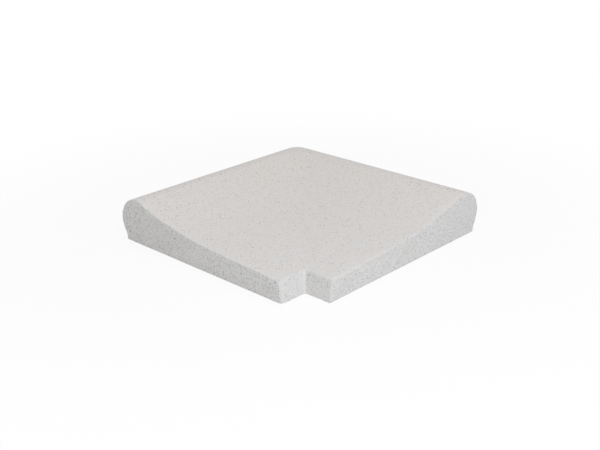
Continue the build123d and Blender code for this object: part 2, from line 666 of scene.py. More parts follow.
    def lay_notch(self, notch: np.ndarray) -> None:
        """Lays the rows down the notch's walls.

        Args:
            notch: The sheet that gets the point indices.
        """
        wall = self.wall
        stations = np.arange(wall + 1 - self.first_bend, self.first_bend - wall)
        over, under = self.upper[wall + np.abs(stations)], self.lines[wall + np.abs(stations)]
        start = np.array([self.upper[wall], self.section.top(self.upper[wall], self.section.side)])
        end = np.array([self.wall_inset, 0.0])
        for row, (inset, height) in enumerate(self.wall_rows(start, end)):
            share = height / start[1]
            far = inset + share * (over - self.upper[wall]) + (1 - share) * (under - self.wall_inset)
            low, high = self.place(np.full(far.shape, inset), far)
            across, along = self.either_way(stations <= 0, low, high)
            by_top, by_foot = row < self.arris_pieces, self.rows - 1 - row < self.arris_pieces
            rubbed = float(by_top) + self.notch_base_rub * float(by_foot)
            # The inner-corner mask: fewer grains, and painted light that whitens the paste towards the
            # corner.
            band = np.where(stations < 0, *self.notch_root_clean_and_lit_bands)
            root = np.clip(1 - (far - inset) / band, 0, 1)
            masks = {Mask.NOTCH_WALL: 1.0, Mask.ARRIS: rubbed, Mask.BARED: self.wall_bared, Mask.ROOT: root}
            notch[row, stations + self.last - wall] = self.add(across, along, height, masks)

    def outline(self) -> np.ndarray:
        """Takes the section from the notch's top over the lip to the notch's foot.

        Returns:
            Its points, as inset and height pairs.
        """
        over, under = self.upper[self.wall :: -1], self.lines[: self.wall + 1]
        top = self.section.top(over, np.full(over.shape, self.section.side))
        insets = np.concatenate([over, self.lip_section[:, 0], under])
        heights = np.concatenate([top, self.lip_section[:, 1], np.zeros(under.shape)])
        return np.stack([insets, heights], 1)

    def bend_over(self) -> list[Bend]:
        """Bends the section over into a joint face.

        Returns:
            The stations of the bend, of which the last lies in the joint face.
        """
        outline = self.outline()
        along = np.gradient(outline, axis=0)
        normal = np.stack([along[:, 1], -along[:, 0]], 1) / np.hypot(along[:, 0], along[:, 1])[:, None]
        radii = [self.joint_base_arris, self.joint_top_arris]
        radius = np.interp(outline[:, 1], self.joint_arris_rise, radii)
        by_wall = np.clip(outline[:, 0] / outline[0, 0] * self.wall_blend - (self.wall_blend - 1), 0, 1)
        reach = radius + by_wall * (self.joint_wall_arris - radius)
        stations = []
        for bend in self.bends:
            gap = reach * (1 - math.sin(bend))
            inside = np.clip(radius - gap, 0, None)
            bent = outline - normal * (radius - np.sqrt(radius**2 - inside**2))[:, None]
            bent[:, 0] -= self.joint_wall_arris * (1 - math.cos(bend)) * by_wall
            wall_gap = self.joint_wall_arris * (1 - math.sin(bend))
            stations.append(Bend(bent, gap, self.wall_rows(bent[0], bent[-1]), wall_gap))
        return stations

    def bend_masks(self, height: np.ndarray, step: int, joint: Joint) -> dict[Mask, float | np.ndarray]:
        """Masks on one station of the bend into a joint face.

        Args:
            height: Heights of the outline's points and of the notch wall's.
            step: Which station it is, of which the last lies in the joint face.
            joint: The joint face.

        Returns:
            The value that each mask has on them, where it isn't 0.
        """
        last_step = len(self.bends) - 1
        in_face = step == last_step
        rub = self.face_rub[joint.value] if in_face else 1.0
        masks = {Mask.ARRIS: np.interp(height, self.base_rise, [self.base_rub, rub])}
        if in_face:
            return masks | {Mask.JOINT_FACE: 1.0, Mask.BARED: self.bared[joint.value]}
        place = np.arange(len(height))
        washed = place < self.wall + 1 + self.rows // 2
        by_notch = place >= len(height) - self.rows
        masks[Mask.WASHED] = np.where(washed, 1 - step / last_step, 0.0)
        masks[Mask.NOTCH_WALL] = np.where(by_notch, 1.0, 0.0)
        return masks

    def close_end(self, joint: Joint, sheets: Sheets) -> np.ndarray:
        """Bends the skin over into one joint face and fills that face.

        Args:
            joint: The joint face.
            sheets: The four sheets, which get the bend's points.

        Returns:
            Point indices of the joint face's own grid, from the lip to the notch.
        """
        count, rows = self.wall + 1, self.rows
        bends = self.bend_over()
        for step, bend in enumerate(bends):
            section = np.concatenate([bend.outline, bend.wall])
            plane = self.section.side - np.concatenate([bend.gap, np.full(rows, bend.wall_gap)])
            ids = self.end_points(section, plane, joint, self.bend_masks(section[:, 1], step, joint))
            over, round_lip, under, down_wall = np.split(ids, [count, count + rows, 2 * count + rows])
            station = self.first_bend + step
            if joint is Joint.MINUS_X:
                sheets.top[station, self.wall :: -1] = over
                sheets.bed[station, :count] = under
                sheets.lip[:, self.last + station] = round_lip
                sheets.notch[:, self.last - 2 * self.wall + station] = down_wall
            else:
                sheets.top[self.wall :: -1, station] = over
                sheets.bed[:count, station] = under
                sheets.lip[:, self.last - station] = round_lip
                sheets.notch[:, self.last - station] = down_wall
        return self.close_face(bends[-1], joint, sheets)

    def close_face(self, bend: Bend, joint: Joint, sheets: Sheets) -> np.ndarray:
        """Fills a joint face with its own grid.

        Args:
            bend: The station of the bend that lies in the joint face.
            joint: The joint face.
            sheets: The four sheets, which end at that station.

        Returns:
            Point indices of the grid, from the lip to the notch.
        """
        count, rows = self.wall + 1, self.rows
        upper, lower = bend.outline[count - 1 :: -1], bend.outline[count + rows :]
        nose = bend.outline[count : count + rows]
        by_lip = self.shares(np.concatenate([upper[:1], nose, lower[:1]]))
        by_notch = self.shares(np.concatenate([upper[-1:], bend.wall, lower[-1:]]))
        blend = np.linspace(0, 1, count)[:, None]
        share = (1 - blend) * by_lip[1:-1] + blend * by_notch[1:-1]
        ladder = (1 - share)[..., None] * upper[:, None] + share[..., None] * lower[:, None]
        inner = [(1 - column) * nose + column * ladder[0] for column in self.cap_columns]
        grid = np.concatenate([np.array(inner), ladder]).transpose(1, 0, 2)
        masks = {Mask.JOINT_FACE: 1.0, Mask.BARED: self.bared[joint.value]}
        ids = self.end_points(grid, np.full(grid.shape[:2], self.section.side), joint, masks)
        minus_x = joint is Joint.MINUS_X
        edges = [grid[-1, :count] if minus_x else grid[:count, -1] for grid in (sheets.top, sheets.bed)]
        repeat = len(self.cap_columns) + 1
        above, below = (np.concatenate([np.full(repeat, edge[0]), edge, edge[-1:]]) for edge in edges)
        end = [-1 if minus_x else 0]
        middle = np.concatenate([sheets.lip[:, end], ids, sheets.notch[:, end]], 1)
        return np.vstack([above, middle, below])

    def end_points(
        self, outline: np.ndarray, plane: np.ndarray, joint: Joint, masks: dict[Mask, float | np.ndarray]
    ) -> np.ndarray:
        """Adds points of a joint face or of the bend beside it.

        Args:
            outline: Inset and height pairs.
            plane: Insets of the points from the lip that the joint face is furthest from.
            joint: The joint face.
            masks: The value that each mask has on them, where it isn't 0.

        Returns:
            Their indices.
        """
        inset, height = outline[..., 0], outline[..., 1]
        if joint is Joint.MINUS_X:
            return self.add(plane, inset, height - self.sag(inset, height, plane), masks)
        return self.add(inset, plane, height, masks)

    def make_mesh(self, grids: list[np.ndarray]) -> bpy.types.Mesh:
        """Joins grids of point indices into one closed mesh.

        Args:
            grids: Point indices in rows and columns, with -1 where a grid has no point.

        Returns:
            The mesh, in metres.
        """
        faces = []
        for grid in grids:
            corners = np.stack([grid[:-1, :-1], grid[1:, :-1], grid[1:, 1:], grid[:-1, 1:]], -1)
            for corner in corners[(corners >= 0).all(-1)]:
                face = [int(one) for one, other in zip(corner, np.roll(corner, 1)) if one != other]
                if len(face) > 2:
                    faces.append(face)
        mesh = bpy.data.meshes.new("stone_skin")
        mesh.from_pydata(np.concatenate(self.points) * MM, [], faces)
        for mask in Mask:
            layer = mesh.attributes.new(mask.value, "FLOAT", "POINT")
            layer.data.foreach_set("value", np.concatenate(self.masks[mask]).astype(np.float32))
        work = bmesh.new()
        work.from_mesh(mesh)
        bmesh.ops.recalc_face_normals(work, faces=work.faces)
        loose = sum(not edge.is_manifold for edge in work.edges)
        log.info("skin: %d points, %d faces, %d open edges", len(work.verts), len(work.faces), loose)
        work.to_mesh(mesh)
        work.free()
        return mesh


@dataclass(frozen=True)
class Chip:
    """A small place where the stone is knocked off.

    Attributes:
        place: Its middle, in millimetres.
        radius: Its reach, in millimetres.
        depth: How deep it is, in millimetres.
        roundness: How its depth fades towards its rim, where more is faster.
    """

    place: Place
    radius: float
    depth: float
    roundness: float = 1.5

    def cut(self, mesh: bpy.types.Mesh) -> None:
        """Moves the points of a mesh that are within reach.

        Args:
            mesh: The skin, in metres.
        """
        count = len(mesh.vertices)
        points, normals = np.empty(count * 3), np.empty(count * 3)
        mesh.vertices.foreach_get("co", points)
        mesh.vertices.foreach_get("normal", normals)
        points, normals = points.reshape(-1, 3), normals.reshape(-1, 3)
        away = np.linalg.norm(points - np.array(self.place) * MM, axis=1) / (self.radius * MM)
        share = np.clip(1 - away**2, 0, 1) ** self.roundness
        points -= normals * (share * self.depth * MM)[:, None]
        mesh.vertices.foreach_set("co", points.ravel())


@dataclass(frozen=True)
class Graph:
    """A node tree that is being wired."""

    tree: bpy.types.NodeTree

    def node(
        self, kind: str, inputs: dict[str | int, object] | None = None, **settings: object
    ) -> bpy.types.Node:
        """Adds a node.

        Args:
            kind: The node's type.
            inputs: A value or an output socket for each input, by its name or its place.
            **settings: Settings of the node.

        Returns:
            The node.
        """
        node = self.tree.nodes.new(kind)
        for name, value in settings.items():
            setattr(node, name, value)
        for key, value in (inputs or {}).items():
            if isinstance(value, Socket):
                self.link(value, node.inputs[key])
            else:
                node.inputs[key].default_value = value
        return node

    def link(self, source: Socket, target: Socket) -> None:
        """Links an output to an input."""
        self.tree.links.new(source, target)

    def math(self, operation: str, *values: float | Socket, clamp: bool = False) -> Socket:
        """Adds a math node and returns its result."""
        node = self.node("ShaderNodeMath", dict(enumerate(values)), operation=operation, use_clamp=clamp)
        return node.outputs[0]

    def vector(self, operation: str, one: Socket, other: Place | Socket) -> Socket:
        """Adds or subtracts two vectors."""
        return self.node("ShaderNodeVectorMath", {0: one, 1: other}, operation=operation).outputs[0]

    def scaled(self, vector: Socket, scale: float | Socket) -> Socket:
        """Scales a vector."""
        return self.node("ShaderNodeVectorMath", {0: vector, "Scale": scale}, operation="SCALE").outputs[0]

    def combined(self, **axes: float | Socket) -> Socket:
        """Makes a vector of the values given for its X, Y and Z."""
        return self.node("ShaderNodeCombineXYZ", dict(axes)).outputs[0]

    def noise(
        self, place: Socket, scale: float | Socket, detail: float = 2.0, roughness: float = 0.5
    ) -> Sockets:
        """Adds a noise and returns its outputs, of which the first is a value and the second a colour."""
        inputs = {"Vector": place, "Scale": scale, "Detail": detail, "Roughness": roughness}
        return self.node("ShaderNodeTexNoise", inputs).outputs

    def span(
        self,
        value: Socket,
        across: tuple[float | Socket, float | Socket],
        results: tuple[float | Socket, float | Socket] = (0.0, 1.0),
        kind: str = "LINEAR",
    ) -> Socket:
        """Turns one range of values into another.

        Args:
            value: The socket of the value.
            across: Where the change starts and ends.
            results: What comes out at the two ends, and beyond them.
            kind: LINEAR or SMOOTHSTEP.

        Returns:
            The socket of the result.
        """
        inputs = dict(enumerate((value, *across, *results)))
        return self.node("ShaderNodeMapRange", inputs, interpolation_type=kind).outputs[0]

    def blend(
        self, share: float | Socket, one: Colour | Socket, other: Colour | Socket, mode: str = "MIX"
    ) -> Socket:
        """Mixes two colours.

        Args:
            share: How much of the second colour there is.
            one: The first colour, or its socket.
            other: The second colour, or its socket.
            mode: How they mix.

        Returns:
            The mixed colour.
        """
        colours = (value if isinstance(value, Socket) else (*value, 1.0) for value in (one, other))
        inputs = dict(zip((0, 6, 7), (share, *colours)))
        return self.node("ShaderNodeMix", inputs, data_type="RGBA", blend_type=mode).outputs[2]

    def ramp(self, value: Socket, tints: Tints) -> Socket:
        """Turns a random value into one of a few colours.

        Args:
            value: The socket of the random value.
            tints: Where each colour starts, and the colour.

        Returns:
            The socket of the colour.
        """
        node = self.node("ShaderNodeValToRGB", {0: value})
        stops = node.color_ramp.elements
        node.color_ramp.interpolation = "CONSTANT"
        while len(stops) < len(tints):
            stops.new(0.5)
        for stop, (position, tint) in zip(stops, tints):
            stop.position = position
            stop.color = (*tint, 1.0)
        return node.outputs[0]

    def attribute(self, name: str) -> Socket:
        """The value of a mesh attribute, in a material."""
        return self.node("ShaderNodeAttribute", attribute_name=name).outputs["Fac"]

    def named(self, name: str) -> Socket:
        """The value of a mesh attribute, in a geometry tree."""
        return self.node("GeometryNodeInputNamedAttribute", {"Name": name}, data_type="FLOAT").outputs[0]

    def object_place(self) -> Socket:
        """The place on the object, in a material."""
        return self.node("ShaderNodeTexCoord").outputs["Object"]

    def socket(
        self, name: str, kind: str = "Float", value: float | None = None, output: bool = False
    ) -> None:
        """Gives a node group an input or an output.

        Args:
            name: The socket's name.
            kind: Float, Vector, Geometry, Material or Int.
            value: Its value where nothing is linked.
            output: Whether it is an output.
        """
        way = "OUTPUT" if output else "INPUT"
        made = self.tree.interface.new_socket(name, in_out=way, socket_type=f"NodeSocket{kind}")
        if value is not None:
            made.default_value = value


@dataclass(frozen=True)
class Specks:
    """Sizes and shares of one layer of grains.

    Attributes:
        cell: Distance between grains, in metres.
        size: Radius of a grain, as a share of the cell.
        edge: Softness of a grain's edge, as a share of the cell.
        on_top: Share of the cells that hold a grain on the top and the lip.
        on_wall: The same on the notch's walls.
        on_joint: The same on the joint faces.
        strength: How much a grain covers the paste.
        tints: The grains' colours.
    """

    cell: float
    size: float
    edge: float
    on_top: float
    on_wall: float
    on_joint: float
    strength: float = 0.8
    tints: Tints = AGGREGATE_TINTS


class Layer(NamedTuple):
    """Outputs of the shader group for grains: where they are, and a random value for each."""

    mask: Socket
    draw: Socket


@dataclass
class SpeckGroup:
    """Shader group for one layer of aggregate grains that the surface cuts through.

    Attributes:
        least: Radius of the smallest grain, as a share of the size given.
        spread: How much larger than that the largest is.
        tree: The group's tree.
    """

    least: float = 0.5
    spread: float = 0.7
    tree: bpy.types.NodeTree = field(init=False)

    def __post_init__(self) -> None:
        """Builds the group."""
        graph = Graph(bpy.data.node_groups.new("aggregate_specks", "ShaderNodeTree"))
        graph.socket("Vector", "Vector")
        for name, value in (("Cell", 0.003), ("Size", 0.3), ("Share", 0.5), ("Edge", 0.08)):
            graph.socket(name, value=value)
        graph.socket("Mask", output=True)
        graph.socket("Tint", output=True)
        given = graph.node("NodeGroupInput").outputs
        scale = graph.math("DIVIDE", 1.0, given["Cell"])
        cells = graph.node("ShaderNodeTexVoronoi", {"Vector": given["Vector"], "Scale": scale}, feature="F1")
        chance = graph.node("ShaderNodeSeparateColor", {0: cells.outputs["Color"]}).outputs
        grown = graph.math("MULTIPLY_ADD", chance[0], self.spread, self.least)
        radius = graph.math("MULTIPLY", given["Size"], grown)
        rim = graph.math("SUBTRACT", radius, given["Edge"]), graph.math("ADD", radius, given["Edge"])
        spot = graph.span(cells.outputs["Distance"], rim, (1.0, 0.0), "SMOOTHSTEP")
        present = graph.math("LESS_THAN", chance[1], given["Share"])
        graph.node("NodeGroupOutput", {"Mask": graph.math("MULTIPLY", spot, present), "Tint": chance[2]})
        self.tree = graph.tree

    def layer(self, graph: Graph, vector: Socket, specks: Specks, share: Socket) -> Layer:
        """Places the group in a material.

        Args:
            graph: The material's tree.
            vector: The socket of the place that the pattern follows.
            specks: The grains' sizes.
            share: Share of the cells that hold a grain.

        Returns:
            The layer's mask, and a random value for each grain.
        """
        inputs = {
            "Vector": vector,
            "Cell": specks.cell,
            "Size": specks.size,
            "Share": share,
            "Edge": specks.edge,
        }
        outputs = graph.node("ShaderNodeGroup", inputs, node_tree=self.tree).outputs
        return Layer(outputs["Mask"], outputs["Tint"])


class Paste(NamedTuple):
    """Outputs of the shader group for the paste."""

    cloud: Socket
    tone: Socket
    height: Socket


@dataclass
class GritGroup:
    """Shader group for the paste's own unevenness, as a tone from 0 to 1 and a height.

    Attributes:
        details: Detail of the widest, the middle and the finest unevenness.
        roughness: How rough all three are.
        mottle_tone: Share of the middle one in the tone.
        grit_tone: Share of the finest in the tone.
        grit_height: Share of the finest in the height, on top of the middle one.
        tree: The group's tree.
    """

    details: tuple[float, float, float] = (2.0, 3.0, 2.0)
    roughness: float = 0.6
    mottle_tone: float = 0.45
    grit_tone: float = 0.55
    grit_height: float = 0.3
    tree: bpy.types.NodeTree = field(init=False)

    def __post_init__(self) -> None:
        """Builds the group."""
        graph = Graph(bpy.data.node_groups.new("paste_grit", "ShaderNodeTree"))
        graph.socket("Vector", "Vector")
        for name, value in (("Cloud", 0.1), ("Mottle", 0.004), ("Grit", 0.001)):
            graph.socket(name, value=value)
        for name in ("Cloud", "Tone", "Height"):
            graph.socket(name, output=True)
        given = graph.node("NodeGroupInput").outputs
        cloud, mottle, grit = (
            graph.noise(given["Vector"], graph.math("DIVIDE", 1.0, given[name]), detail, self.roughness)[0]
            for name, detail in zip(("Cloud", "Mottle", "Grit"), self.details)
        )
        fine = graph.math("MULTIPLY", grit, self.grit_tone)
        tone = graph.math("MULTIPLY_ADD", mottle, self.mottle_tone, fine)
        height = graph.math("MULTIPLY_ADD", grit, self.grit_height, mottle)
        graph.node("NodeGroupOutput", {"Cloud": cloud, "Tone": tone, "Height": height})
        self.tree = graph.tree

    def place(self, graph: Graph, vector: Socket, cloud: float, mottle: float, grit: float) -> Paste:
        """Places the group in a material.

        Args:
            graph: The material's tree.
            vector: The socket of the place that the pattern follows.
            cloud: Size of the widest unevenness, in metres.
            mottle: Size of the middle one.
            grit: Size of the finest one.

        Returns:
            The group's outputs.
        """
        inputs = {"Vector": vector, "Cloud": cloud, "Mottle": mottle, "Grit": grit}
        outputs = graph.node("ShaderNodeGroup", inputs, node_tree=self.tree).outputs
        return Paste(outputs["Cloud"], outputs["Tone"], outputs["Height"])


@dataclass(frozen=True)
class GrainFinish:
    """Finish of the exposed aggregate grains, grey for the most part, with some tan and rust ones.

    Attributes:
        name: The material's name.
        tints: The grains' colours.
        vein_scale: Veins to the metre.
        vein_tint: What a vein's colour is multiplied by, in part.
        vein_share: How strongly it is.
        roughness: Roughness of a grain where it has no vein.
        vein_roughness: How much rougher a vein is.
    """

    name: str = "aggregate_grain"
    tints: Tints = AGGREGATE_TINTS
    vein_scale: float = 2500.0
    vein_tint: Colour = (0.2, 0.2, 0.2)
    vein_share: float = 0.5
    roughness: float = 0.4
    vein_roughness: float = 0.3

    def build(self) -> bpy.types.Material:
        """Builds the material.

        Returns:
            The material.
        """
        material = bpy.data.materials.new(self.name)
        material.use_nodes = True
        graph = Graph(material.node_tree)
        shader = graph.tree.nodes["Principled BSDF"]
        colour = graph.ramp(graph.attribute(TINT_DRAW), self.tints)
        vein = graph.noise(graph.object_place(), self.vein_scale)[0]
        darker = graph.blend(self.vein_share, colour, self.vein_tint, "MULTIPLY")
        mixed = graph.blend(graph.math("MULTIPLY", vein, self.vein_share), colour, darker)
        graph.link(mixed, shader.inputs["Base Color"])
        rough = graph.math("MULTIPLY_ADD", vein, self.vein_roughness, self.roughness)
        graph.link(rough, shader.inputs["Roughness"])
        return material


@dataclass(frozen=True)
class StoneFinish:
    """Finish of the cast stone: pale paste shot with grains, warm and washed on top, fresh on the joints,
    with painted light in the notch's inner corner and painted shade on its arrises.

    Attributes:
        name: The material's name.
        top_paste: Colour of the paste on the top and the lip.
        side_paste: The same on the joint faces.
        wall_paste: The same on the notch's walls.
        root_painted_light: Painted light: how much whiter the notch's inner corner is made.
        arris_painted_shade: Painted shade: how far the notch's arrises are darkened, against the lighter band
            that light gives their rounding.
        arris_shade_tint: What their colour is multiplied by for that.
        cloud: Size of the widest unevenness, in metres.
        cloud_run: Its values between which its tint comes in.
        cloud_share: How far it does.
        cloud_tint: What the paste is multiplied by there.
        lip_warmth: What the top's colour is multiplied by at the lip.
        warm_run: X and Y together, in metres, where that starts and where it is whole.
        mottle: Size of the middle unevenness, in metres.
        fine: Size of the finest.
        tone_run: Values of those two between which the shade goes out.
        shade: How dark the darkest of it is.
        shade_tint: What the paste is multiplied by there.
        wobble_scale: Wobbles to the metre in the outlines of the grains.
        wobble: How far those go, in metres.
        cleaned: How much rarer grains are on arrises and in the notch's inner corner.
        fuller: How much closer they are where the stone is bared.
        bolder: How much more of the paste they cover there.
        stain: Wide soft stains.
        pale: Pale grains.
        blush: Pink and tan grains, most of them on the top.
        dust: The finest grains.
        grit: Middling grains.
        sand: The largest grains.
        rust: A few rust spots.
        pattern_step: How far each layer's pattern is moved away from the one before it.
        roughness: Roughness of the darkest paste.
        tone_roughness: How much rougher the palest is.
        grain_roughness: How much smoother a grain is.
        grain_relief: How much lower a grain is, as a share of the relief.
        relief: Depth of the relief, in metres.
        relief_strength: How strongly it shows.
        specular: The shader's specular level.
    """

    name: str = "cast_stone"
    top_paste: Colour = (0.712, 0.691, 0.677)
    side_paste: Colour = (0.694, 0.687, 0.683)
    wall_paste: Colour = (0.702, 0.698, 0.694)
    root_painted_light: float = 0.13
    arris_painted_shade: float = 0.45
    arris_shade_tint: Colour = (0.9, 0.9, 0.9)
    cloud: float = 0.11
    cloud_run: Pair = (0.35, 0.65)
    cloud_share: float = 0.06
    cloud_tint: Colour = (0.93, 0.88, 0.84)
    lip_warmth: Colour = (1.0, 0.988, 0.974)
    warm_run: Pair = (-0.25, 0.30)
    mottle: float = 0.0045
    fine: float = 0.0011
    tone_run: Pair = (0.3, 0.7)
    shade: float = 0.24
    shade_tint: Colour = (0.72, 0.71, 0.70)
    wobble_scale: float = 700.0
    wobble: float = 0.0009
    cleaned: float = 0.7
    fuller: float = 0.25
    bolder: float = 0.16
    stain: Specks = Specks(
        0.0064, 0.42, 0.30, on_top=0.55, on_wall=0.10, on_joint=0.10, strength=0.23, tints=STAIN_TINTS
    )
    pale: Specks = Specks(
        0.0021, 0.32, 0.12, on_top=0.22, on_wall=0.20, on_joint=0.42, strength=0.5, tints=PALE_TINTS
    )
    blush: Specks = Specks(
        0.0038, 0.23, 0.08, on_top=0.34, on_wall=0.08, on_joint=0.05, strength=0.85, tints=BLUSH_TINTS
    )
    dust: Specks = Specks(0.0016, 0.34, 0.12, on_top=0.30, on_wall=0.38, on_joint=0.60)
    grit: Specks = Specks(0.0027, 0.30, 0.07, on_top=0.12, on_wall=0.28, on_joint=0.52)
    sand: Specks = Specks(0.0052, 0.21, 0.05, on_top=0.18, on_wall=0.23, on_joint=0.30)
    rust: Specks = Specks(
        0.015, 0.10, 0.03, on_top=0.09, on_wall=0.16, on_joint=0.22, strength=0.75, tints=RUST_TINTS
    )
    pattern_step: Place = (3.1, 1.7, 5.3)
    roughness: float = 0.76
    tone_roughness: float = 0.2
    grain_roughness: float = 0.22
    grain_relief: float = 0.35
    relief: float = 0.00025
    relief_strength: float = 0.6
    specular: float = 0.35

    def build(self, specks: SpeckGroup, grit: GritGroup) -> bpy.types.Material:
        """Builds the material.

        Args:
            specks: The group for the grains.
            grit: The group for the paste.

        Returns:
            The material.
        """
        material = bpy.data.materials.new(self.name)
        material.use_nodes = True
        graph = Graph(material.node_tree)
        shader = graph.tree.nodes["Principled BSDF"]
        masks = {mask: graph.attribute(mask.value) for mask in Mask if mask is not Mask.UNDERSIDE}
        place = graph.object_place()
        paste = grit.place(graph, place, self.cloud, self.mottle, self.fine)
        colour = self.paste_colour(graph, place, paste, masks)
        colour, covered = self.speckle(graph, place, specks, masks, colour)
        graph.link(colour, shader.inputs["Base Color"])
        rough = graph.math("MULTIPLY_ADD", paste.tone, self.tone_roughness, self.roughness)
        rough = graph.math("MULTIPLY_ADD", covered, -self.grain_roughness, rough)
        graph.link(rough, shader.inputs["Roughness"])
        height = graph.math("MULTIPLY_ADD", covered, -self.grain_relief, paste.height)
        inputs = {"Height": height, "Distance": self.relief, "Strength": self.relief_strength}
        graph.link(graph.node("ShaderNodeBump", inputs).outputs[0], shader.inputs["Normal"])
        shader.inputs["Specular IOR Level"].default_value = self.specular
        return material

    def paste_colour(self, graph: Graph, place: Socket, paste: Paste, masks: dict[Mask, Socket]) -> Socket:
        """Colour of the paste, without its grains.

        Args:
            graph: The material's tree.
            place: The socket of the place on the stone.
            paste: The paste's unevenness.
            masks: The sockets of the skin's masks.

        Returns:
            The socket of the colour.
        """
        colour = graph.blend(masks[Mask.WASHED], self.side_paste, self.top_paste)
        colour = graph.blend(masks[Mask.NOTCH_WALL], colour, self.wall_paste)
        # Painted light: the paste is whitened towards the notch's inner corner.
        root_light_share = graph.math("MULTIPLY", masks[Mask.ROOT], self.root_painted_light)
        colour = graph.blend(root_light_share, colour, WHITE)
        # Painted shade: the notch's arrises are darkened, to take out the lighter band that light gives their
        # rounding.
        by_notch = graph.math("MULTIPLY", masks[Mask.ARRIS], masks[Mask.NOTCH_WALL])
        wear = graph.math("MULTIPLY", by_notch, self.arris_painted_shade)
        colour = graph.blend(wear, colour, self.arris_shade_tint, "MULTIPLY")
        clouded = graph.span(paste.cloud, self.cloud_run, (0.0, self.cloud_share))
        colour = graph.blend(clouded, colour, self.cloud_tint, "MULTIPLY")
        sides = graph.node("ShaderNodeSeparateXYZ", {0: place}).outputs
        warm = graph.span(graph.math("ADD", sides[0], sides[1]), self.warm_run)
        warm = graph.math("MULTIPLY", warm, masks[Mask.WASHED])
        colour = graph.blend(warm, colour, self.lip_warmth, "MULTIPLY")
        shaded = graph.span(paste.tone, self.tone_run, (self.shade, 0.0))
        return graph.blend(shaded, colour, self.shade_tint, "MULTIPLY")

    def speckle(
        self, graph: Graph, place: Socket, specks: SpeckGroup, masks: dict[Mask, Socket], colour: Socket
    ) -> tuple[Socket, Socket]:
        """Lays the layers of grains over the paste.

        Args:
            graph: The material's tree.
            place: The socket of the place on the stone.
            specks: The group for the grains.
            masks: The sockets of the skin's masks.
            colour: The colour of the paste.

        Returns:
            The sockets of the colour, and of where the larger grains lie.
        """
        shift = graph.scaled(graph.noise(place, self.wobble_scale, 1.0)[1], self.wobble)
        place = graph.vector("ADD", place, shift)
        rubbed = graph.math("MAXIMUM", masks[Mask.ARRIS], masks[Mask.ROOT])
        clean = graph.math("MULTIPLY_ADD", rubbed, -self.cleaned, 1.0)
        fuller = graph.math("MULTIPLY_ADD", masks[Mask.BARED], self.fuller, 1.0)
        covers = {}
        for layer in (self.stain, self.pale, self.blush, self.dust, self.grit, self.sand, self.rust):
            on_joint, on_wall = layer.on_joint - layer.on_top, layer.on_wall - layer.on_top
            share = graph.math("MULTIPLY_ADD", masks[Mask.JOINT_FACE], on_joint, layer.on_top)
            share = graph.math("MULTIPLY_ADD", masks[Mask.NOTCH_WALL], on_wall, share)
            share = graph.math("MULTIPLY", graph.math("MULTIPLY", share, clean), fuller)
            moved = graph.vector("ADD", place, tuple(step * len(covers) for step in self.pattern_step))
            covers[layer], draw = specks.layer(graph, moved, layer, share)
            bolder = graph.math("MULTIPLY_ADD", masks[Mask.BARED], self.bolder, layer.strength)
            strength = graph.math("MULTIPLY", covers[layer], bolder)
            colour = graph.blend(strength, colour, graph.ramp(draw, layer.tints))
        return colour, graph.math("MAXIMUM", covers[self.grit], covers[self.sand])


class Wiring(NamedTuple):
    """What the parts of the weathering's tree share.

    Attributes:
        graph: The tree.
        given: Its inputs.
        place: Where a point is.
        above_floor: How high it is.
        masks: The skin's masks.
    """

    graph: Graph
    given: Sockets
    place: Socket
    above_floor: Socket
    masks: dict[Mask, Socket]

    def draw(self, number: int, low: float, high: float) -> Socket:
        """Draws a random value for each point.

        Args:
            number: Which draw this is.
            low: The least value.
            high: The greatest value.

        Returns:
            The socket of the value.
        """
        own = self.graph.math("ADD", self.given["Seed"], float(number))
        node = self.graph.node("FunctionNodeRandomValue", {"Seed": own}, data_type="FLOAT")
        node.inputs[2].default_value, node.inputs[3].default_value = low, high
        return node.outputs[1]


